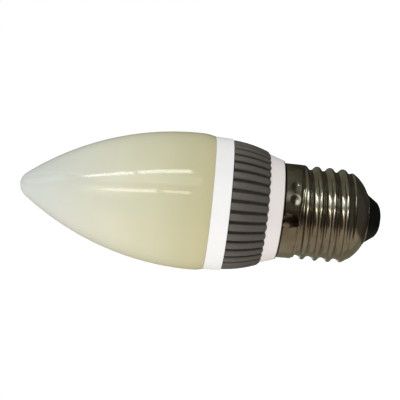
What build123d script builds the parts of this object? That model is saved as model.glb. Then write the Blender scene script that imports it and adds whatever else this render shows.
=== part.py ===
from build123d import *
from math import asin, atan2, ceil, cos, degrees, radians, sin, sqrt
import os

# Candle lamp with a ribbed heat sink and an E27 screw cap, standing on its cap with the tip up.
# Lengths are in millimetres. The origin is the middle of the centre contact's outer face and +Z points
# to the tip. The solder joint is on the -Y side.

# Heights of the pieces that show, from the contact up to the tip
insulator_height = 4.2
shell_height = 24.15
base_height = 3.95
sink_height = 10.45
collar_height = 4.9
diffuser_height = 52.35

# Diffuser: a flame shape with a belly, one long flank arc and a small round tip
belly_radius = 19.0
belly_height = 3.85
tip_radius = 4.0
diffuser_seat_radius = 18.45
neck_radius = 15.6
neck_length = 3.4

# Collar: the smooth white ring that takes the diffuser's neck
collar_top_radius = 18.5
collar_bottom_radius = 18.3
collar_bevel = 0.25
collar_spigot_length = 2.0

# Heat sink: a sleeve with bars along the axis, their tips on an arc that leans in towards the cap
rib_count = 38
rib_width = 2.15
rib_land = 0.9
rib_shoulder = 0.4
rib_top_depth = 1.0
rib_bottom_depth = 0.6
rib_end_bevel = 0.5
rib_top_radius = 18.0
rib_bottom_radius = 15.6
rib_arc_radius = 32.0
rib_first_angle = -90.9
sink_bore_radius = 12.0

# Base: the white rear ring, with a post into the heat sink and a stem into the screw shell
base_top_radius = 15.15
base_bottom_radius = 13.9
base_bevel = 0.25
stem_length = 17.6

# Screw shell: E27 cap of thin sheet, with a thread, a plain skirt and a round shoulder
sheet = 0.35
crest_radius = 13.1
thread_depth = 1.095
thread_pitch = 3.629
thread_crest_z = 18.75
ridge_foot = 2.8
ridge_width = 1.5
ridge_land = 0.7
ridge_shoulder = 0.3
skirt_radius = 13.15
skirt_length = 5.15
rim_radius = 13.8
rim_length = 0.5
shoulder_radius = 10.7
shoulder_slope = 21.5
shell_seat_radius = 7.0
shell_hole_radius = 6.4

# Insulator: the black cone between the shell and the centre contact
insulator_end_radius = 4.9
insulator_dome_height = 1.2
insulator_flange_radius = 6.8
insulator_flange_height = 1.4

# Centre contact: a rivet with a flat face, flush with the land in the middle of the insulator's dome
contact_radius = 1.6
contact_land = 0.3
contact_head = 0.7
contact_shank_radius = 1.0
contact_shank_length = 6.6

# Solder joint on the skirt, run up to the rim
solder_width = 4.4
solder_proud = 0.8
solder_angle = -101.0

# Clearances of the parts that plug together
fit_clearance = 0.1
end_clearance = 0.2

# Levels where one piece ends and the next begins
shell_z = insulator_height
base_z = shell_z + shell_height
skirt_z = base_z - skirt_length
sink_z = base_z + base_height
collar_z = sink_z + sink_height
diffuser_z = collar_z + collar_height

os.makedirs("parts", exist_ok=True)


def upright(level):
    """Plane of a turned profile: x is the radius and y the height above the level."""
    return Plane(origin=(0, 0, level), x_dir=(1, 0, 0), z_dir=(0, -1, 0))


def widest_rim(piece, level):
    """The widest circular edge of a turned piece at a level."""
    circles = piece.edges().filter_by(GeomType.CIRCLE).filter_by_position(Axis.Z, level, level)
    return circles.sort_by(SortBy.RADIUS)[-1]


# Diffuser: the flank arc leaves the belly upright and runs into the round of the tip
tip_rise = diffuser_height - tip_radius - belly_height
flank_radius = (belly_radius**2 + tip_rise**2 - tip_radius**2) / (2 * (belly_radius - tip_radius))
flank_sweep = degrees(atan2(tip_rise, flank_radius - belly_radius))

with BuildPart() as diffuser:
    with BuildSketch(upright(diffuser_z)):
        with BuildLine():
            belly = (belly_radius, belly_height)
            flank = JernArc(belly, (0, 1), flank_radius, flank_sweep)
            JernArc(flank @ 1, flank % 1, tip_radius, 90 - flank_sweep)
            Polyline(
                (0, diffuser_height),
                (0, -neck_length),
                (neck_radius, -neck_length),
                (neck_radius, 0),
                (diffuser_seat_radius, 0),
            )
            TangentArc(belly, (diffuser_seat_radius, 0), tangent=(0, -1))
        make_face()
    revolve(axis=Axis.Z)
diffuser.part.label = "diffuser"
export_step(diffuser.part, "parts/diffuser.step")

# Collar: a cup for the neck, with a spigot that centres it in the heat sink
spigot_radius = sink_bore_radius - fit_clearance

with BuildPart() as collar:
    with BuildSketch(upright(collar_z)):
        Polygon(
            (0, -collar_spigot_length),
            (spigot_radius, -collar_spigot_length),
            (spigot_radius, 0),
            (collar_bottom_radius, 0),
            (collar_top_radius, collar_height),
            (0, collar_height),
            align=None,
        )
    revolve(axis=Axis.Z)
    chamfer(widest_rim(collar, diffuser_z), collar_bevel)
    with BuildSketch(Plane.XY.offset(diffuser_z)):
        Circle(neck_radius + fit_clearance)
    extrude(amount=-neck_length - end_clearance, mode=Mode.SUBTRACT)
collar.part.label = "collar"
export_step(collar.part, "parts/collar.step")

# Heat sink: one bar is bent round the middle of its tip arc, cut to length and set round the sleeve
rib_chord = Vector(rib_top_radius - rib_bottom_radius, sink_height)
rib_arc_rise = sqrt(rib_arc_radius**2 - (rib_chord.length / 2) ** 2)
rib_middle = Vector(rib_bottom_radius, 0) + rib_chord / 2
rib_centre = rib_middle + Vector(-rib_chord.Y, rib_chord.X).normalized() * rib_arc_rise
rib_centre_z = sink_z + rib_centre.Y
rib_tip = rib_centre.X + rib_arc_radius
rib_sweep = degrees(atan2(sink_height + rib_centre.Y, rib_tip))

with BuildPart() as rib:
    with BuildSketch(Plane.XY.offset(rib_centre_z)):
        with BuildLine():
            Polyline(
                (rib_tip, 0),
                (rib_tip, rib_land / 2),
                (rib_tip - rib_shoulder, rib_width / 2),
                (rib_tip - 2 * rib_top_depth, rib_width / 2),
                (rib_tip - 2 * rib_top_depth, 0),
            )
            mirror(about=Plane.XZ)
        make_face()
    revolve(axis=Axis((rib_centre.X, 0, rib_centre_z), (0, 1, 0)), revolution_arc=rib_sweep)
    split(bisect_by=Plane.XY.offset(collar_z), keep=Keep.BOTTOM)
    split(bisect_by=Plane.XY.offset(sink_z), keep=Keep.TOP)
    end_bevel = Plane(origin=(rib_bottom_radius - rib_end_bevel, 0, sink_z), z_dir=(-1, 0, 1))
    split(bisect_by=end_bevel, keep=Keep.TOP)

with BuildPart() as heat_sink:
    with BuildSketch(upright(sink_z)):
        with BuildLine():
            floor_bottom = (rib_bottom_radius - rib_bottom_depth, 0)
            floor_top = (rib_top_radius - rib_top_depth, sink_height)
            RadiusArc(floor_bottom, floor_top, rib_arc_radius)
            Polyline(floor_top, (sink_bore_radius, sink_height), (sink_bore_radius, 0), floor_bottom)
        make_face()
    revolve(axis=Axis.Z)
    with PolarLocations(0, rib_count, start_angle=rib_first_angle):
        add(rib.part)
heat_sink.part.label = "heat_sink"
export_step(heat_sink.part, "parts/heat_sink.step")

# Base: the ring that shows, the post up into the heat sink and the stem down into the shell
root_radius = crest_radius - thread_depth
skirt_bore_radius = skirt_radius - sheet
thread_bore_radius = root_radius - sheet
stem_radius = thread_bore_radius - fit_clearance
skirt_stem_radius = skirt_bore_radius - fit_clearance
post_height = base_height + sink_height - collar_spigot_length - end_clearance

with BuildPart() as base:
    with BuildSketch(upright(base_z)):
        Polygon(
            (0, -stem_length),
            (stem_radius, -stem_length),
            (stem_radius, -skirt_length + end_clearance),
            (skirt_stem_radius, -skirt_length + end_clearance),
            (skirt_stem_radius, 0),
            (base_bottom_radius, 0),
            (base_top_radius, base_height),
            (spigot_radius, base_height),
            (spigot_radius, post_height),
            (0, post_height),
            align=None,
        )
    revolve(axis=Axis.Z)
    chamfer(widest_rim(base, base_z), base_bevel)
base.part.label = "base"
export_step(base.part, "parts/base.step")

# Screw shell: a turned cup, with the thread's ridge wound round it. The ridge starts under the cup,
# with a crest at thread_crest_z on the +X side, and ends inside the skirt.
shoulder_centre = (
    shell_seat_radius - shoulder_radius * sin(radians(shoulder_slope)),
    shoulder_radius * cos(radians(shoulder_slope)),
)
turned_edge = sheet * cos(radians(shoulder_slope))
ridge_z = thread_crest_z - ceil((thread_crest_z - shell_z) / thread_pitch) * thread_pitch
ridge_height = skirt_z + thread_pitch / 2 - ridge_z
ridge_root = root_radius - sheet / 2
ridge_flank = (ridge_foot - ridge_width) / 2 / (thread_depth - ridge_shoulder)


def shoulder_outline(arc_radius, reach, floor):
    """Half section of a cup: a disc up to the middle of its shoulder arc, straight above it."""
    with BuildSketch(upright(shell_z)) as outline:
        with Locations(shoulder_centre):
            Circle(arc_radius)
        with Locations((0, shoulder_centre[1])):
            Rectangle(reach, shell_height, align=(Align.MIN, Align.MIN))
        with Locations((0, floor)):
            Rectangle(reach, shell_height, align=(Align.MIN, Align.MIN), mode=Mode.INTERSECT)
    return outline.sketch


with BuildPart() as ridge:
    with BuildLine() as ridge_path:
        Helix(thread_pitch, ridge_height, root_radius, center=(0, 0, ridge_z))
    with BuildSketch(upright(ridge_z)):
        with BuildLine():
            Polyline(
                (crest_radius, 0),
                (crest_radius, ridge_land / 2),
                (crest_radius - ridge_shoulder, ridge_width / 2),
                (ridge_root, ridge_foot / 2 + ridge_flank * sheet / 2),
                (ridge_root, 0),
            )
            mirror(about=Plane.XZ)
        make_face()
    sweep(path=ridge_path.line, is_frenet=True)
    revolve(shoulder_outline(shoulder_radius, 2 * crest_radius, 0), axis=Axis.Z, mode=Mode.INTERSECT)

# The plain skirt, sloping into the first groove below and flared at its rim
with BuildSketch(upright(base_z)) as skirt_outline:
    Polygon(
        (0, 0),
        (rim_radius, 0),
        (skirt_radius, -rim_length),
        (skirt_radius, -skirt_length),
        (root_radius, -skirt_length - skirt_radius + root_radius),
        (0, -skirt_length - skirt_radius + root_radius),
        align=None,
    )

with BuildPart() as screw_shell:
    revolve(shoulder_outline(shoulder_radius, root_radius, 0), axis=Axis.Z)
    add(ridge.part)
    revolve(skirt_outline.sketch, axis=Axis.Z)

    # The hollow inside, with the sheet turned in below to hold the insulator
    hollow = shoulder_outline(shoulder_radius - sheet, thread_bore_radius, turned_edge)
    revolve(hollow, axis=Axis.Z, mode=Mode.SUBTRACT)
    with BuildSketch(Plane.XY.offset(skirt_z)):
        Circle(skirt_bore_radius)
    extrude(until=Until.LAST, mode=Mode.SUBTRACT)
    with BuildSketch(Plane.XY.offset(shell_z)):
        Circle(shell_hole_radius)
    extrude(amount=shell_height, mode=Mode.SUBTRACT)
screw_shell.part.label = "screw_shell"
export_step(screw_shell.part, "parts/screw_shell.step")

# Insulator: its cone sits under the shell's turned-in edge and its flange above that edge
insulator_neck_radius = shell_hole_radius - fit_clearance
flange_height = insulator_height + turned_edge
land_radius = contact_radius + contact_land
dome_reach = insulator_end_radius - land_radius
dome_radius = (dome_reach**2 + insulator_dome_height**2) / (2 * insulator_dome_height)
dome_sweep = degrees(asin(dome_reach / dome_radius))

with BuildPart() as insulator:
    with BuildSketch(upright(0)):
        with BuildLine():
            dome = JernArc((land_radius, 0), (1, 0), dome_radius, dome_sweep)
            Polyline(
                dome @ 1,
                (shell_seat_radius, insulator_height),
                (insulator_neck_radius, insulator_height),
                (insulator_neck_radius, flange_height),
                (insulator_flange_radius, flange_height),
                (insulator_flange_radius, flange_height + insulator_flange_height),
                (0, flange_height + insulator_flange_height),
                (0, 0),
                (land_radius, 0),
            )
        make_face()
    revolve(axis=Axis.Z)
    with BuildSketch(Plane.XY.offset(contact_head)):
        Circle(contact_radius + fit_clearance)
    extrude(amount=-contact_head, mode=Mode.SUBTRACT)
    with BuildSketch():
        Circle(contact_shank_radius + fit_clearance)
    extrude(until=Until.LAST, mode=Mode.SUBTRACT)
insulator.part.label = "insulator"
export_step(insulator.part, "parts/insulator.step")

# Centre contact: a rivet let into the insulator's end, its flat face at the origin
with BuildPart() as centre_contact:
    with BuildSketch():
        Circle(contact_radius)
    extrude(amount=contact_head)
    with BuildSketch(Plane.XY.offset(contact_head)):
        Circle(contact_shank_radius)
    extrude(amount=contact_shank_length)
centre_contact.part.label = "centre_contact"
export_step(centre_contact.part, "parts/centre_contact.step")

# Side solder: a low drop, shaped to the skirt and the rim that it sits on
solder_sphere = ((solder_width / 2) ** 2 + solder_proud**2) / (2 * solder_proud)
solder_z = base_z - solder_width / 2

with BuildPart() as side_solder:
    with Locations((0, 0, solder_z)):
        with PolarLocations(skirt_radius + solder_proud - solder_sphere, 1, start_angle=solder_angle):
            Sphere(solder_sphere)
    split(bisect_by=Plane.XY.offset(base_z), keep=Keep.BOTTOM)
    revolve(skirt_outline.sketch, axis=Axis.Z, mode=Mode.SUBTRACT)
side_solder.part.label = "side_solder"
export_step(side_solder.part, "parts/side_solder.step")
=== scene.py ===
from math import asin, atan2, cos, degrees, exp, pi, radians, sin, sqrt

import bmesh
import bpy
from mathutils import Matrix, Vector, noise


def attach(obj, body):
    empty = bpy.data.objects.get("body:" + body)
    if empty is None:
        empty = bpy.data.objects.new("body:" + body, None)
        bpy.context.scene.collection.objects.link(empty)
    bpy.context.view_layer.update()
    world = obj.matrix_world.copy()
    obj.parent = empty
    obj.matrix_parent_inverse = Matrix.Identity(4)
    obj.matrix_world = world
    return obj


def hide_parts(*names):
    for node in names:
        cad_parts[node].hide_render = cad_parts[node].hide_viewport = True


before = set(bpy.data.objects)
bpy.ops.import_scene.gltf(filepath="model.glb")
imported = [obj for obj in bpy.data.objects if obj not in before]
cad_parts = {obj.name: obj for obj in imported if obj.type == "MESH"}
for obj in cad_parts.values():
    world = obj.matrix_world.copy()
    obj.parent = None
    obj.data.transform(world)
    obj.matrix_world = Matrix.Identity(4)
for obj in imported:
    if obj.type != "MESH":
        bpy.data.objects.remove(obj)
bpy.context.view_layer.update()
bpy.context.scene.view_settings.view_transform = "Standard"


# Diffuser: the flame-shaped shade that spreads the light, moulded in one piece from opal plastic. Its
# neck plugs into the collar. The yellow light board shows faintly through its wide end.
mm = 0.001
seat_z = 47.65
belly_z = 51.5
tip_z = 100.0
seat_radius = 18.45
belly_radius = 19.0
tip_radius = 4.0
neck_radius = 15.6
neck_z = 44.25
belly_rows = 10
flank_rows = 64
tip_rows = 14
cloud_share = 0.6

belly_bulge = belly_radius - seat_radius
belly_rise = belly_z - seat_z
belly_curve = (belly_bulge**2 + belly_rise**2) / (2 * belly_bulge)
belly_sweep = degrees(asin(belly_rise / belly_curve))
tip_rise = tip_z - tip_radius - belly_z
flank_curve = (belly_radius**2 + tip_rise**2 - tip_radius**2) / (2 * (belly_radius - tip_radius))
flank_sweep = degrees(atan2(tip_rise, flank_curve - belly_radius))


def arc(centre, radius, start, end, steps):
    """Points (distance from the axis, height) along an arc of a turned outline, from angle to angle."""
    angles = [radians(start + (end - start) * i / steps) for i in range(steps + 1)]
    return [(centre[0] + radius * cos(a), centre[1] + radius * sin(a)) for a in angles]


def new_piece(name, bm):
    """Turns a bmesh into a smooth object with crisp corners."""
    bmesh.ops.remove_doubles(bm, verts=bm.verts, dist=1e-7)
    bmesh.ops.recalc_face_normals(bm, faces=bm.faces)
    mesh = bpy.data.meshes.new(name)
    bm.to_mesh(mesh)
    bm.free()
    mesh.shade_smooth()
    mesh.set_sharp_from_angle(angle=radians(50))
    piece = bpy.data.objects.new(name, mesh)
    bpy.context.collection.objects.link(piece)
    return piece


def turned(name, outline, around=160, edge=0.0):
    """Turns an outline in mm about the lamp's axis. edge is the width of the rounding on its corners."""
    bm = bmesh.new()
    points = [bm.verts.new((r * mm, 0, z * mm)) for r, z in outline]
    lines = [bm.edges.new(pair) for pair in zip(points, points[1:])]
    bmesh.ops.spin(bm, geom=points + lines, axis=(0, 0, 1), angle=2 * pi, steps=around, use_merge=True)
    piece = new_piece(name, bm)
    if edge:
        rounding = piece.modifiers.new("rounded_edges", "BEVEL")
        rounding.width = edge * mm
        rounding.segments = 4
        rounding.limit_method = "ANGLE"
        rounding.angle_limit = radians(30)
    return piece


def sight(red, green, blue):
    """A colour as it is seen, in levels up to 255, as linear light."""
    levels = [level / 255 for level in (red, green, blue)]
    return [v / 12.92 if v <= 0.04045 else ((v + 0.055) / 1.055) ** 2.4 for v in levels] + [1.0]


def new_finish(name):
    """An empty material and its shader."""
    material = bpy.data.materials.new(name)
    material.use_nodes = True
    return material, material.node_tree.nodes["Principled BSDF"]


def feed(material, node, inputs):
    """Sets a node's inputs, each to a value or to the socket that feeds it."""
    for key, value in inputs.items():
        if isinstance(value, bpy.types.NodeSocket):
            material.node_tree.links.new(value, node.inputs[key])
        else:
            node.inputs[key].default_value = value


def put(material, kind, inputs, **settings):
    """Adds a node to a material."""
    node = material.node_tree.nodes.new(kind)
    for key, value in settings.items():
        setattr(node, key, value)
    feed(material, node, inputs)
    return node


def place(material, stretch=(1, 1, 1)):
    """Position on the lamp in metres, stretched along its axes."""
    position = put(material, "ShaderNodeTexCoord", {})
    inputs = {"Vector": position.outputs["Object"], "Scale": stretch}
    return put(material, "ShaderNodeMapping", inputs).outputs[0]


def grain(material, scale, detail=3.0, roughness=0.5, stretch=(1, 1, 1)):
    """Soft random variation, with about scale patches to the metre."""
    inputs = {"Vector": place(material, stretch), "Scale": scale, "Detail": detail, "Roughness": roughness}
    return put(material, "ShaderNodeTexNoise", inputs).outputs["Fac"]


def spread(material, value, low, high, floor, ceiling):
    """Maps a value from one range to another, held within it."""
    inputs = {"Value": value, "From Min": low, "From Max": high, "To Min": floor, "To Max": ceiling}
    return put(material, "ShaderNodeMapRange", inputs).outputs[0]


def ramp(material, value, stops):
    """Colours along a value: pairs of place and colour."""
    node = put(material, "ShaderNodeValToRGB", {"Fac": value})
    while len(node.color_ramp.elements) < len(stops):
        node.color_ramp.elements.new(0.5)
    for element, (position, colour) in zip(node.color_ramp.elements, stops):
        element.position = position
        element.color = colour
    return node.outputs["Color"]


def mixed(material, share, first, second, way="MIX"):
    """Two colours mixed by a share."""
    node = put(material, "ShaderNodeMix", {0: share, 6: first, 7: second}, data_type="RGBA", blend_type=way)
    return node.outputs[2]


diffuser = turned(
    "diffuser_shade",
    [(0, neck_z), (neck_radius, neck_z), (neck_radius, seat_z)]
    + arc((belly_radius - belly_curve, belly_z), belly_curve, -belly_sweep, 0, belly_rows)
    + arc((belly_radius - flank_curve, belly_z), flank_curve, 0, flank_sweep, flank_rows)[1:]
    + arc((0, tip_z - tip_radius), tip_radius, flank_sweep, 90, tip_rows)[1:],
    around=192,
)

opal, shader = new_finish("opal_plastic")
height = put(opal, "ShaderNodeSeparateXYZ", {0: place(opal)}).outputs["Z"]
along = spread(opal, height, seat_z * mm, tip_z * mm, 0.0, 1.0)
opal_tones = [
    (0.0, sight(206, 195, 152)),
    (0.12, sight(208, 199, 160)),
    (0.3, sight(218, 211, 178)),
    (0.48, sight(223, 217, 190)),
    (0.75, sight(219, 216, 201)),
    (1.0, sight(213, 214, 206)),
]
clouds = ramp(opal, grain(opal, 70, 2.0), [(0.3, (0.93, 0.93, 0.92, 1)), (0.7, (1, 1, 1, 1))])
feed(
    opal,
    shader,
    {
        "Base Color": mixed(opal, cloud_share, ramp(opal, along, opal_tones), clouds, "MULTIPLY"),
        "Roughness": spread(opal, grain(opal, 220), 0.3, 0.7, 0.07, 0.1),
        "IOR": 1.5,
        "Subsurface Weight": 0.15,
        "Subsurface Radius": (1.0, 0.9, 0.7),
        "Subsurface Scale": 0.003,
    },
)
diffuser.data.materials.append(opal)
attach(diffuser, "root")
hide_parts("diffuser")


# Collar: the smooth white ring under the diffuser, moulded in glossy plastic. It is a cup for the
# diffuser's neck, and a spigot below centres it in the heat sink.
collar_z = 42.75
collar_top_radius = 18.5
collar_bottom_radius = 18.3
collar_cup_radius = 15.7
collar_cup_z = 44.05
spigot_radius = 11.9
spigot_z = 40.75

collar = turned(
    "collar_ring",
    [
        (0, spigot_z),
        (spigot_radius, spigot_z),
        (spigot_radius, collar_z),
        (collar_bottom_radius, collar_z),
        (collar_top_radius, seat_z),
        (collar_cup_radius, seat_z),
        (collar_cup_radius, collar_cup_z),
        (0, collar_cup_z),
    ],
    edge=0.22,
)


def relief(material, height, strength, depth):
    """Small bumps, depth in mm."""
    node = put(material, "ShaderNodeBump", {"Height": height, "Strength": strength, "Distance": depth * mm})
    return node.outputs["Normal"]


def white_plastic(name, dull, bright):
    """Glossy white moulding with faint flow marks, handling marks and a fine surface."""
    material, shader = new_finish(name)
    flow = grain(material, 90, 4.0, stretch=(1, 1, 0.35))
    feed(
        material,
        shader,
        {
            "Base Color": ramp(material, flow, [(0.3, dull), (0.65, bright)]),
            "Roughness": spread(material, grain(material, 300), 0.3, 0.7, 0.28, 0.42),
            "Normal": relief(material, grain(material, 1800, 2.0), 0.05, 0.05),
            "IOR": 1.48,
            "Specular IOR Level": 0.3,
        },
    )
    return material


collar.data.materials.append(white_plastic("collar_plastic", sight(246, 240, 234), sight(250, 245, 239)))
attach(collar, "root")
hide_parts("collar")


# Heat sink: a cast aluminium band with a coat of dark grey, clamped between the collar and the base.
# Bars stand round it, their tips on an arc that leans in towards the cap, with deep grooves between.
rib_count = 38
rib_first_angle = -90.9
rib_width = 2.15
rib_top_depth = 1.0
rib_bottom_depth = 0.6
rib_top_radius = 18.0
rib_bottom_radius = 15.6
rib_curve = 32.0
rib_end_round = 0.9
rib_nose = 0.4
rib_square = 3
rib_crown = 0.55
collar_seam = 0.35
sink_z = 32.3
sink_bore_radius = 12.0
rib_columns = 14
groove_columns = 4
nose_rows = 6
rib_rows = 16
seam_rows = 4
speckle_share = 0.7

rib_foot = Vector((rib_bottom_radius, sink_z))
rib_chord = Vector((rib_top_radius, collar_z)) - rib_foot
rib_middle = rib_foot + rib_chord / 2
rib_sagitta = sqrt(rib_curve**2 - (rib_chord.length / 2) ** 2)
rib_centre = rib_middle + Vector((-rib_chord.y, rib_chord.x)).normalized() * rib_sagitta


def ringed(name, rows, tint=None):
    """Joins rows of points round the axis into one closed skin. tint is a value for each point."""
    bm = bmesh.new()
    layer = bm.verts.layers.float.new("rise_for_painted_shade") if tint else None
    skin = [[bm.verts.new(point) for point in row] for row in rows]
    if tint:
        for row, values in zip(skin, tint):
            for vert, value in zip(row, values):
                vert[layer] = value
    for lower, upper in zip(skin, skin[1:] + skin[:1]):
        for i in range(len(lower)):
            j = (i + 1) % len(lower)
            bm.faces.new((lower[i], lower[j], upper[j], upper[i]))
    return new_piece(name, bm)


def around_axis(radius, angle, z):
    """A point in metres from its distance to the axis in mm, its angle and its height in mm."""
    return (radius * cos(angle) * mm, radius * sin(angle) * mm, z * mm)


def rib_angles():
    """Angles round the heat sink, closer at the sides of each bar, with the place across the bar."""
    pitch = 2 * pi / rib_count
    half = rib_width / 2 / (rib_top_radius + rib_bottom_radius) * 2
    columns = []
    for rib in range(rib_count):
        middle = radians(rib_first_angle) + rib * pitch
        for i in range(rib_columns + 1):
            across = sin((i / rib_columns - 0.5) * pi)
            columns.append((middle + half * across, across))
        for i in range(1, groove_columns):
            columns.append((middle + half + (pitch - 2 * half) * i / groove_columns, 1.0))
    return columns


def rib_end(across):
    """Height of the lower end there: the bars have round noses that reach past the grooves' floor."""
    return sink_z + rib_nose * (1 - sqrt(1 - across**2))


def rounded(run):
    """Rise of a rounded end, from 0 at its start to 1 once run is 1."""
    return sqrt(1 - (1 - min(max(run, 0.0), 1.0)) ** 2)


def rib_rise(across, z):
    """How far a bar stands up there, from 0 on the groove's floor to 1 on its top."""
    side = (1 - abs(across) ** rib_square) ** rib_crown
    return side * rounded((z - rib_end(across)) / rib_end_round) * rounded((collar_z - z) / collar_seam)


def sink_point(angle, across, share):
    """A point of the ribbed face, share of the way from its lower end to the collar, and its rise."""
    z = rib_end(across) + (collar_z - rib_end(across)) * share
    tip = rib_centre.x + sqrt(rib_curve**2 - (z - rib_centre.y) ** 2)
    depth = rib_bottom_depth + (rib_top_depth - rib_bottom_depth) * (z - sink_z) / (collar_z - sink_z)
    rise = rib_rise(across, z)
    return around_axis(tip - depth * (1 - rise), angle, z), rise


nose_share = rib_end_round / (collar_z - sink_z)
seam_share = collar_seam / (collar_z - sink_z)
sink_shares = [nose_share * (1 - cos(i / nose_rows * pi / 2)) for i in range(nose_rows)]
sink_shares += [nose_share + (1 - seam_share - nose_share) * i / rib_rows for i in range(rib_rows)]
sink_shares += [1 - seam_share * (1 - sin(i / seam_rows * pi / 2)) for i in range(seam_rows + 1)]
sink_columns = rib_angles()
sink_rows = [[around_axis(sink_bore_radius, angle, rib_end(across)) for angle, across in sink_columns]]
sink_rise = [[0.0] * len(sink_columns)]
for share in sink_shares:
    points = [sink_point(angle, across, share) for angle, across in sink_columns]
    sink_rows.append([point for point, rise in points])
    sink_rise.append([rise for point, rise in points])
sink_rows.append([around_axis(sink_bore_radius, angle, collar_z) for angle, across in sink_columns])
sink_rise.append([0.0] * len(sink_columns))
heat_sink = ringed("heat_sink_ribs", sink_rows, sink_rise)

coat, shader = new_finish("heat_sink_coat")
rise_for_painted_shade = put(coat, "ShaderNodeAttribute", {}, attribute_name="rise_for_painted_shade").outputs["Fac"]
height = put(coat, "ShaderNodeSeparateXYZ", {0: place(coat)}).outputs["Z"]
towards_collar = spread(coat, height, sink_z * mm, collar_z * mm, 0.0, 1.0)
bar_tone = ramp(
    coat, towards_collar, [(0.0, sight(84, 77, 70)), (0.55, sight(91, 83, 75)), (1.0, sight(102, 95, 86))]
)
speckle = ramp(
    coat, grain(coat, 2600, 4.0, 0.7), [(0.35, (0.82, 0.82, 0.82, 1)), (0.65, (1.12, 1.11, 1.1, 1))]
)
bar_colour = mixed(coat, speckle_share, bar_tone, speckle, "MULTIPLY")
# Painted shade: where the bars do not rise, in the grooves, at the bars' noses and at the seam by the
# collar, the coat is painted a darker grey, sight(52, 46, 41), for the shade there. The bars grow lighter
# towards the collar.
feed(
    coat,
    shader,
    {
        "Base Color": mixed(coat, spread(coat, rise_for_painted_shade, 0.0, 0.7, 0.0, 1.0), sight(52, 46, 41), bar_colour),
        "Roughness": spread(coat, grain(coat, 900, 3.0), 0.3, 0.7, 0.42, 0.6),
        "Normal": relief(coat, grain(coat, 3200, 3.0), 0.18, 0.04),
        "IOR": 1.45,
    },
)
heat_sink.data.materials.append(coat)
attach(heat_sink, "root")
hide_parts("heat_sink")


# Base: the white rear ring, moulded in plastic in one with the post that goes up into the heat sink
# and the stem that the screw shell is pushed onto.
base_z = 28.35
base_top_radius = 15.15
base_bottom_radius = 13.9
base_lip_radius = 14.95
base_lip_z = 32.66
post_z = 40.55
skirt_stem_z = 23.4
skirt_stem_radius = 12.7
stem_radius = 11.55
stem_z = 10.75

base = turned(
    "base_ring",
    [
        (0, stem_z),
        (stem_radius, stem_z),
        (stem_radius, skirt_stem_z),
        (skirt_stem_radius, skirt_stem_z),
        (skirt_stem_radius, base_z),
        (base_bottom_radius, base_z),
        (base_top_radius, sink_z),
        (base_lip_radius, base_lip_z),
        (spigot_radius, base_lip_z),
        (spigot_radius, post_z),
        (0, post_z),
    ],
    edge=0.2,
)
base.data.materials.append(white_plastic("base_plastic", sight(231, 219, 212), sight(239, 227, 220)))
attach(base, "root")
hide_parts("base")


# Screw shell: the E27 cap, rolled from thin brass sheet and nickel plated. It has a plain skirt with a
# flared rim, a knuckle thread, and a round shoulder that ends in a fine bead on the insulator. Pairs of
# punch marks in the skirt lock it to the base. A thin band of the rim next to the base is painted dark as
# shade.
sheet = 0.35
crest_radius = 13.1
thread_pitch = 3.629
thread_crest_z = 18.75
crest_round = 0.8
root_round = 1.25
shell_z = 4.2
shell_seat_radius = 7.0
shell_hole_radius = 6.4
bead_radius = 0.17
bead_offset = (0.05, 0.02)
bead_start = -170
bead_end = 20
bead_rows = 8
shoulder_curve = 10.7
shoulder_slope = radians(21.5)
shoulder_end_slope = 0.98
shoulder_rows = 18
shoulder_blend = 0.25
shoulder_blend_height = 3
skirt_radius = 13.15
skirt_z = 23.2
skirt_drop = 0.7
thread_runout = 0.16
rim_radius = 13.8
rim_length = 0.5
rim_round = 0.18
rim_flare = 1.6
rim_rows = 6
rim_round_rows = 4
rim_shade_z = 27.7
rim_shade_fade = 0.25
punch_pairs = (-68, 52, 172)
punch_aside = 8.5
punch_z = 25.2
punch_radius = 1.55
punch_depth = 0.2
shell_columns = 200
thread_rows = 132
inner_rows = 10

punch_angles = [radians(pair + side) for pair in punch_pairs for side in (-punch_aside, punch_aside)]
shoulder_r = shell_seat_radius - shoulder_curve * sin(shoulder_slope)
shoulder_z = shell_z + shoulder_curve * cos(shoulder_slope)
flank_angle = asin(thread_pitch / 2 / (crest_round + root_round))
crest_reach = crest_round * sin(flank_angle)
thread_depth = (crest_round + root_round) * (1 - cos(flank_angle))
root_radius = crest_radius - thread_depth


def thread_radius(angle, z):
    """Distance of the rolled thread from the axis: round crests that run into rounder roots."""
    turn = (z - thread_crest_z) / thread_pitch - angle / (2 * pi)
    offset = abs(turn - round(turn)) * thread_pitch
    if offset < crest_reach:
        return crest_radius - crest_round + sqrt(crest_round**2 - offset**2)
    offset = thread_pitch / 2 - offset
    return root_radius + root_round - sqrt(root_round**2 - offset**2)


def soft_least(a, b, soft):
    """The smaller of two lengths, with a rounded change from one to the other."""
    return (a + b - sqrt((a - b) ** 2 + soft**2)) / 2


def shell_radius(angle, z):
    """Distance of the shell's outer face from the axis."""
    radius = thread_radius(angle, z)
    if z < shoulder_z:
        shoulder = shoulder_r + sqrt(max(shoulder_curve**2 - (shoulder_z - z) ** 2, 0.0))
        soft = shoulder_blend * min(1.0, (z - shell_z) / shoulder_blend_height)
        radius = soft_least(radius, shoulder, soft)
    skirt_edge = skirt_z - skirt_drop * cos(angle)
    filled = 1 / (1 + exp(-(z - skirt_edge) / thread_runout))
    radius += (max(skirt_radius, radius) - radius) * filled
    for punch_angle in punch_angles:
        aside = (angle - punch_angle + pi) % (2 * pi) - pi
        reach = sqrt((aside * skirt_radius) ** 2 + (z - punch_z) ** 2) / punch_radius
        radius -= punch_depth * max(0.0, 1 - reach**2) ** 2 * filled
    return radius


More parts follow.
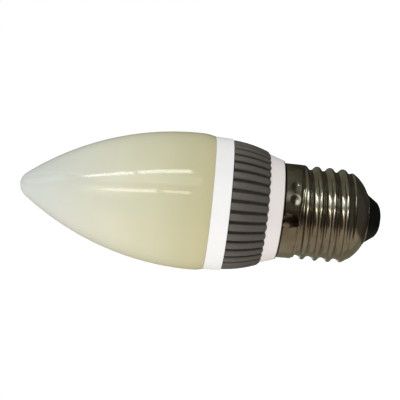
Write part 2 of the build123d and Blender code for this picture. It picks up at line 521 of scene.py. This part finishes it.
rim_z = base_z - rim_length
shoulder_turn = shoulder_end_slope - shoulder_slope
shoulder_angles = [shoulder_slope + shoulder_turn * i / shoulder_rows for i in range(1, shoulder_rows + 1)]
shell_levels = [shoulder_z - shoulder_curve * cos(angle) for angle in shoulder_angles]
thread_z = shell_levels[-1]
shell_levels += [thread_z + (rim_z - thread_z) * i / thread_rows for i in range(1, thread_rows + 1)]
shell_angles = [2 * pi * i / shell_columns for i in range(shell_columns)]
thread_bore_radius = root_radius - sheet
skirt_bore_radius = skirt_radius - sheet
turned_edge = sheet * cos(shoulder_slope)
inner_curve = shoulder_curve - sheet
inner_start = degrees(asin((shell_hole_radius - shoulder_r) / inner_curve))
inner_end = degrees(asin((thread_bore_radius - shoulder_r) / inner_curve))


def shell_ring(radius, z):
    """A plain ring of the shell."""
    return [around_axis(radius, angle, z) for angle in shell_angles]


bead_centre = (shell_seat_radius + bead_offset[0], shell_z + bead_offset[1])
shell_rows = [shell_ring(r, z) for r, z in arc(bead_centre, bead_radius, bead_start, bead_end, bead_rows)]
for z in shell_levels:
    shell_rows.append([around_axis(shell_radius(angle, z), angle, z) for angle in shell_angles])
for i in range(1, rim_rows + 1):
    share = i / rim_rows
    flare = (rim_radius - skirt_radius) * share**rim_flare
    shell_rows.append(shell_ring(skirt_radius + flare, rim_z + (rim_length - rim_round) * share))
rim_centre = (rim_radius - rim_round, base_z - rim_round)
shell_rows += [shell_ring(r, z) for r, z in arc(rim_centre, rim_round, 0, 90, rim_round_rows)[1:]]
shell_rows += [shell_ring(skirt_bore_radius, z) for z in (base_z, skirt_z)]
shell_rows += [shell_ring(thread_bore_radius, skirt_z)]
inner_shoulder = arc((shoulder_r, shoulder_z), inner_curve, inner_end - 90, inner_start - 90, inner_rows)
shell_rows += [shell_ring(r, z) for r, z in inner_shoulder]
shell_rows += [shell_ring(shell_hole_radius, shell_z + turned_edge), shell_ring(shell_hole_radius, shell_z)]
screw_shell = ringed("screw_shell_nickel", shell_rows)

nickel, shader = new_finish("nickel_plate")
height = put(nickel, "ShaderNodeSeparateXYZ", {0: place(nickel)}).outputs["Z"]
stains = ramp(
    nickel,
    grain(nickel, 130, 5.0, 0.6),
    [(0.32, sight(168, 160, 140)), (0.5, sight(190, 186, 172)), (0.72, sight(198, 196, 188))],
)
# Painted shade: the band of the rim next to the base is painted dark, sight(62, 55, 47).
painted_rim_shade = spread(nickel, height, rim_shade_z * mm, (rim_shade_z + rim_shade_fade) * mm, 0.0, 1.0)
drawn = grain(nickel, 160, 3.0, 0.6, stretch=(1, 1, 24))
feed(
    nickel,
    shader,
    {
        "Base Color": mixed(nickel, painted_rim_shade, stains, sight(62, 55, 47)),
        "Metallic": 1.0,
        "Roughness": spread(nickel, grain(nickel, 420, 4.0), 0.3, 0.75, 0.14, 0.26),
        "Normal": relief(nickel, drawn, 0.08, 0.05),
    },
)
screw_shell.data.materials.append(nickel)
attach(screw_shell, "root")
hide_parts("screw_shell")


# Side solder: the drop of tin solder that ties one lead to the skirt. It has run up over the rim to the
# base's edge and set in an uneven lump. Its colour is a painted dark reflection in random patches of dark
# brown, with one painted highlight as a pale spot.
solder_angle = radians(-101)
solder_z = 26.2
solder_length = 2.7
solder_width = 2.1
solder_proud = 0.8
solder_root = 0.2
solder_fullness = 0.6
solder_lap = 0.45
solder_lap_lean = 0.3
lump_waves = ((0.3, 1.5, Vector((3.1, 0.4, 7.2))), (0.15, 4, Vector((0, 0, 0))))
painted_glint_angle = radians(-107)
painted_glint_z = 27.2
painted_glint_radius = 0.7
painted_glint_edge = 1.2

bm = bmesh.new()
bmesh.ops.create_icosphere(bm, subdivisions=5, radius=1.0)
for vert in bm.verts:
    lump = vert.co.normalized()
    swell = 1 + sum(size * noise.noise(lump * scale + start) for size, scale, start in lump_waves)
    aside = lump.x * solder_width * swell / skirt_radius
    z = min(solder_z + lump.y * solder_length * swell, base_z + solder_lap)
    crown = solder_proud + max(0.0, z - rim_z) * solder_lap_lean
    rise = (crown + solder_root) * max(lump.z, 0.0) ** solder_fullness
    vert.co = around_axis(skirt_radius - solder_root + rise, solder_angle + aside, z)
solder = new_piece("side_solder_drop", bm)

tin, shader = new_finish("solder_tin")
# Painted highlight: a pale spot on the lump, sight(176, 170, 158), fading out round this point.
painted_glint_spot = around_axis(skirt_radius + solder_proud, painted_glint_angle, painted_glint_z)
away = put(tin, "ShaderNodeVectorMath", {0: place(tin), 1: painted_glint_spot}, operation="DISTANCE").outputs["Value"]
# Painted reflection: the lump is painted in dark browns, mottled at random, for the dark room it mirrors.
dark_reflection_mottle = spread(tin, grain(tin, 520, 4.0, 0.6), 0.38, 0.62, 0.0, 1.0)
feed(
    tin,
    shader,
    {
        "Base Color": mixed(
            tin,
            spread(tin, away, painted_glint_radius * mm, painted_glint_edge * mm, 1.0, 0.0),
            mixed(tin, dark_reflection_mottle, sight(58, 49, 40), sight(92, 83, 72)),
            sight(176, 170, 158),
        ),
        "Metallic": 1.0,
        "Roughness": spread(tin, grain(tin, 900, 3.0), 0.3, 0.7, 0.25, 0.45),
        "Normal": relief(tin, grain(tin, 1100, 3.0), 0.15, 0.06),
    },
)
solder.data.materials.append(tin)
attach(solder, "root")
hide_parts("side_solder")


# Insulator: the cone, moulded in hard black plastic, that closes the shell and keeps the centre contact
# apart from it. Its neck goes through the shell's hole, with a flange inside.
insulator_end_radius = 4.9
dome_height = 1.2
dome_rows = 12
neck_gap = 0.1
flange_radius = 6.8
flange_height = 1.4
contact_radius = 1.6
contact_land = 0.3
contact_head = 0.7
contact_shank_radius = 1.0

land_radius = contact_radius + contact_land
dome_reach = insulator_end_radius - land_radius
dome_curve = (dome_reach**2 + dome_height**2) / (2 * dome_height)
dome_sweep = degrees(asin(dome_reach / dome_curve))
flange_z = shell_z + turned_edge
insulator = turned(
    "insulator_cone",
    [
        (contact_shank_radius + neck_gap, contact_head),
        (contact_radius + neck_gap, contact_head),
        (contact_radius + neck_gap, 0),
    ]
    + arc((land_radius, dome_curve), dome_curve, -90, dome_sweep - 90, dome_rows)
    + [
        (shell_seat_radius, shell_z),
        (shell_hole_radius - neck_gap, shell_z),
        (shell_hole_radius - neck_gap, flange_z),
        (flange_radius, flange_z),
        (flange_radius, flange_z + flange_height),
        (contact_shank_radius + neck_gap, flange_z + flange_height),
        (contact_shank_radius + neck_gap, contact_head),
    ],
    edge=0.18,
)
black, shader = new_finish("black_moulding")
feed(
    black,
    shader,
    {
        "Base Color": ramp(
            black, grain(black, 400, 4.0), [(0.3, sight(9, 9, 9)), (0.7, sight(17, 17, 16))]
        ),
        "Roughness": spread(black, grain(black, 700), 0.3, 0.7, 0.34, 0.52),
        "Normal": relief(black, grain(black, 2200, 2.0), 0.1, 0.05),
        "Specular IOR Level": 0.2,
    },
)
insulator.data.materials.append(black)
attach(insulator, "root")
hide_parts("insulator")


# Centre contact: a nickel-plated rivet in the insulator's end, its flat face flush with the land round
# it and worn bright.
contact_shank_z = 7.3
contact = turned(
    "centre_contact_rivet",
    [
        (0, 0),
        (contact_radius, 0),
        (contact_radius, contact_head),
        (contact_shank_radius, contact_head),
        (contact_shank_radius, contact_shank_z),
        (0, contact_shank_z),
    ],
    around=96,
    edge=0.12,
)
rivet, shader = new_finish("rivet_nickel")
feed(
    rivet,
    shader,
    {
        "Base Color": ramp(
            rivet, grain(rivet, 500, 4.0), [(0.35, sight(176, 168, 146)), (0.65, sight(200, 197, 188))]
        ),
        "Metallic": 1.0,
        "Roughness": spread(rivet, grain(rivet, 1500, 3.0, stretch=(1, 12, 1)), 0.3, 0.7, 0.18, 0.4),
        "Normal": relief(rivet, grain(rivet, 1800, 2.0, stretch=(1, 10, 1)), 0.1, 0.03),
    },
)
contact.data.materials.append(rivet)
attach(contact, "root")
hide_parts("centre_contact")


# Studio: a pale floor well below the lamp, a white surround and two soft fills. The rest shows only in
# reflections: two rows of tubes with some haze, and cards for a dim room above and a warm table below.
floor_z = -0.06


def sheet_of_light(name, material, centre, across, along):
    """A flat rectangle for the set, given by two half sides."""
    centre, across, along = Vector(centre), Vector(across), Vector(along)
    corners = [centre + across * i + along * j for i, j in ((-1, -1), (1, -1), (1, 1), (-1, 1))]
    mesh = bpy.data.meshes.new(name)
    mesh.from_pydata(corners, [], [(0, 1, 2, 3)])
    mesh.materials.append(material)
    board = bpy.data.objects.new(name, mesh)
    bpy.context.collection.objects.link(board)
    return board


def seen_directly(material):
    """1 where the camera, a mirror or a clear body looks, and 0 for other light."""
    path = put(material, "ShaderNodeLightPath", {})
    share = path.outputs["Is Camera Ray"]
    for kind in ("Is Glossy Ray", "Is Transmission Ray"):
        either = {0: share, 1: path.outputs[kind]}
        share = put(material, "ShaderNodeMath", either, operation="MAXIMUM").outputs[0]
    return share


pale, shader = new_finish("pale_floor")
feed(
    pale,
    shader,
    {
        "Base Color": (0.8, 0.8, 0.8, 1),
        "Roughness": 0.9,
        "Specular IOR Level": 0.0,
        "Emission Color": (1, 1, 1, 1),
        "Emission Strength": spread(pale, seen_directly(pale), 0.0, 1.0, 0.0, 0.4),
    },
)
sheet_of_light("floor", pale, (0, 0, floor_z), (3, 0, 0), (0, 3, 0))

world = bpy.data.worlds.new("white_surround")
world.use_nodes = True
bpy.context.scene.world = world
air = world.node_tree.nodes["Background"]
day = (0.87, 0.93, 0.98, 1)
white = (1, 1, 1, 1)
sky = mixed(world, seen_directly(world), day, white)
feed(world, air, {"Color": sky, "Strength": 1.0})


def card(name, colour, centre, across, along):
    """A glowing card that only reflections show."""
    material = bpy.data.materials.new(name)
    material.use_nodes = True
    material.node_tree.nodes.clear()
    glow = put(material, "ShaderNodeEmission", {"Color": colour, "Strength": 1.0})
    put(material, "ShaderNodeOutputMaterial", {"Surface": glow.outputs[0]})
    board = sheet_of_light(name, material, centre, across, along)
    board.visible_camera = False
    board.visible_diffuse = False
    board.visible_shadow = False
    return board


def strip(name, colour, start, end, width):
    """A tube that only reflections show, from point to point and facing the lamp."""
    start, end = Vector(start), Vector(end)
    across = (end - start).cross(start + end).normalized() * width / 2
    card(name, colour, (start + end) / 2, across, (end - start) / 2)


def haze(name, colour, centre, across, along):
    """A card that fades from its middle to nothing at its edge."""
    board = card(name, colour, centre, across, along)
    material = board.data.materials[0]
    nodes = material.node_tree.nodes
    spot = put(material, "ShaderNodeTexCoord", {}).outputs["Generated"]
    doubled = {"Vector": spot, "Location": (-1, -1, -1), "Scale": (2, 2, 2)}
    centred = put(material, "ShaderNodeMapping", doubled).outputs[0]
    fade = put(material, "ShaderNodeTexGradient", {"Vector": centred}, gradient_type="SPHERICAL")
    clear = put(material, "ShaderNodeBsdfTransparent", {})
    layers = {0: fade.outputs["Fac"], 1: clear.outputs[0], 2: nodes["Emission"].outputs[0]}
    surface = put(material, "ShaderNodeMixShader", layers).outputs[0]
    feed(material, nodes["Material Output"], {"Surface": surface})


haze("haze_low", (2.3, 2.1, 1.65, 1), (0.06, -0.66, 0.66), (0.2, 0, 0), (0, 0, 0.36))
dull = (0.15, 0.147, 0.112, 1)
dark = (0.04, 0.036, 0.028, 1)
brown = (0.035, 0.024, 0.016, 1)
tan = (0.33, 0.275, 0.215, 1)
olive = (0.2, 0.185, 0.13, 1)
dusk = (0.06, 0.058, 0.047, 1)
cool = (7.6, 8, 7.8, 1)
under = floor_z + 0.005
over = under + 0.002
for name, colour, centre, across, along in (
    ("card_above", dull, (0.7, 0.5, 0.495), (0, 1.5, 0), (0, 0, 0.555)),
    ("card_back", dull, (0.43, 2.0, 0.495), (0.37, 0, 0), (0, 0, 0.555)),
    ("card_front", brown, (0.0, -0.9, 0.495), (0.85, 0, 0), (0, 0, 0.555)),
    ("card_table", tan, (-0.28, -0.1, 0.495), (0, 0.27, 0), (0, 0, 0.555)),
    ("card_table_back", olive, (-0.28, 0.55, 0.495), (0, 0.38, 0), (0, 0, 0.555)),
    ("card_cap_back", dark, (0.36, 0.96, under), (0.39, 0, 0), (0, 0.94, 0)),
    ("card_cap_back_table", olive, (-0.34, 0.96, under), (0.31, 0, 0), (0, 0.94, 0)),
    ("card_cap_high", dusk, (0.36, -0.49, under), (0.39, 0, 0), (0, 0.51, 0)),
    ("card_cap_front", brown, (0.0, -0.58, over), (0.32, 0, 0), (0, 0.31, 0)),
    ("card_cap_near", brown, (0.07, -0.165, over), (0.23, 0, 0), (0, 0.105, 0)),
    ("card_cap_table", tan, (-0.34, -0.44, under), (0.31, 0, 0), (0, 0.46, 0)),
    ("card_tip_high", dark, (0.315, 0.5, 1.05), (0.335, 0, 0), (0, 1.4, 0)),
    ("card_tip_table", tan, (-0.335, 0.5, 1.05), (0.315, 0, 0), (0, 1.4, 0)),
    ("glow_high", (1.15, 1.25, 1.2, 1), (0.42, -0.66, 0.36), (0.1, 0.06, 0), (0, 0, 0.4)),
    ("glow_mid", (0.1, 0.09, 0.066, 1), (0.17, -0.64, 0.0), (0.15, 0, 0), (0, 0, 0.055)),
):
    card(name, colour, centre, across, along)
for name, colour, start, end, width in (
    ("tube_high_near", cool, (0.5, -0.444, 0.067), (0.5, -0.528, 0.375), 0.07),
    ("tube_high_far", cool, (0.5, -0.543, 0.415), (0.5, -0.59, 0.92), 0.08),
    ("tube_high_tip", (0.9, 0.95, 0.9, 1), (0.15, -0.13, 1.04), (0.5, -0.44, 1.04), 0.3),
    ("tube_low_near", (5.0, 4.8, 4.1, 1), (0.136, -0.6, 0.068), (0.117, -0.6, 0.2), 0.045),
    ("tube_low_far", (6.5, 6.2, 5.6, 1), (0.1115, -0.6, 0.235), (0.0595, -0.6, 0.595), 0.055),
):
    strip(name, colour, start, end, width)


def fill(name, spot, aim, size, radiance, tint):
    """A square soft lamp that no mirror shows."""
    lamp = bpy.data.lights.new(name, "AREA")
    lamp.shape = "SQUARE"
    lamp.size = size
    lamp.energy = radiance * pi * size**2
    lamp.color = tint
    stand = bpy.data.objects.new(name, lamp)
    stand.location = spot
    stand.rotation_euler = (Vector(aim) - Vector(spot)).to_track_quat("-Z", "Y").to_euler()
    stand.visible_glossy = False
    bpy.context.collection.objects.link(stand)


fill("fill_front", (0.25, -0.9, 0.15), (0, 0, 0.06), 0.6, 0.95, (1.0, 0.99, 0.95))
fill("fill_table", (-0.8, -0.3, 0.1), (0, 0, 0.06), 0.8, 1.1, (1, 0.91, 0.83))


# Camera: level with the lamp's side, turned so that the tip points left, with a long lens.
camera_distance = 0.3134
camera_yaw = radians(2.08)
camera_roll = radians(5.9)
camera_aim = Vector((0, 0, 0.05))
focal_pixels = 1130
image_pixels = 400
aim_offset = (-0.00016, 0.0005)

forward = Vector((0, cos(camera_yaw), -sin(camera_yaw)))
level_right = Vector((0, -sin(camera_yaw), -cos(camera_yaw)))
level_up = Vector((1, 0, 0))
right = level_right * cos(camera_roll) + level_up * sin(camera_roll)
up = level_up * cos(camera_roll) - level_right * sin(camera_roll)
camera = bpy.data.objects.new("camera", bpy.data.cameras.new("camera"))
camera.data.sensor_width = 36.0
camera.data.lens = camera.data.sensor_width * focal_pixels / image_pixels
camera.data.clip_start = 0.01
stand_point = camera_aim - forward * camera_distance + right * aim_offset[0] + up * aim_offset[1]
camera.matrix_world = Matrix.Translation(stand_point) @ Matrix((right, up, -forward)).transposed().to_4x4()
bpy.context.collection.objects.link(camera)
bpy.context.scene.camera = camera
